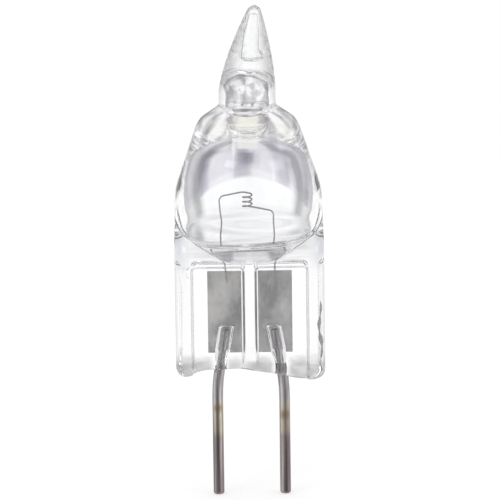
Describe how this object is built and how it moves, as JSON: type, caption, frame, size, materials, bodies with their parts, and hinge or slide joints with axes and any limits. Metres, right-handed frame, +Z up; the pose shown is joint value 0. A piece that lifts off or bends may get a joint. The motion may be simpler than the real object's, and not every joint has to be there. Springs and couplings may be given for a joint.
{
  "type": "halogen bulb",
  "caption": "Clear quartz halogen capsule bulb with a drawn exhaust tip, a coiled tungsten filament, a flat pinch seal and stiff plug-in pins.",
  "frame": {"origin": "midway between the pins, level with their tips", "axes": "+Z up the bulb to the exhaust tip, +X along the pair of pins, -Y out of the seal's front"},
  "size_m": [0.0088, 0.0088, 0.0295],
  "materials": {
    "quartz": "clear, fire-polished",
    "tungsten": "drawn wire, dark",
    "foil": "rolled and etched, satin",
    "pin": "drawn wire with heat tints"
  },
  "bodies": {
    "root": {"envelope": "quartz", "filament": "tungsten", "foil_left": "foil", "foil_right": "foil", "pin_left": "pin", "pin_right": "pin"}
  },
  "joints": []
}
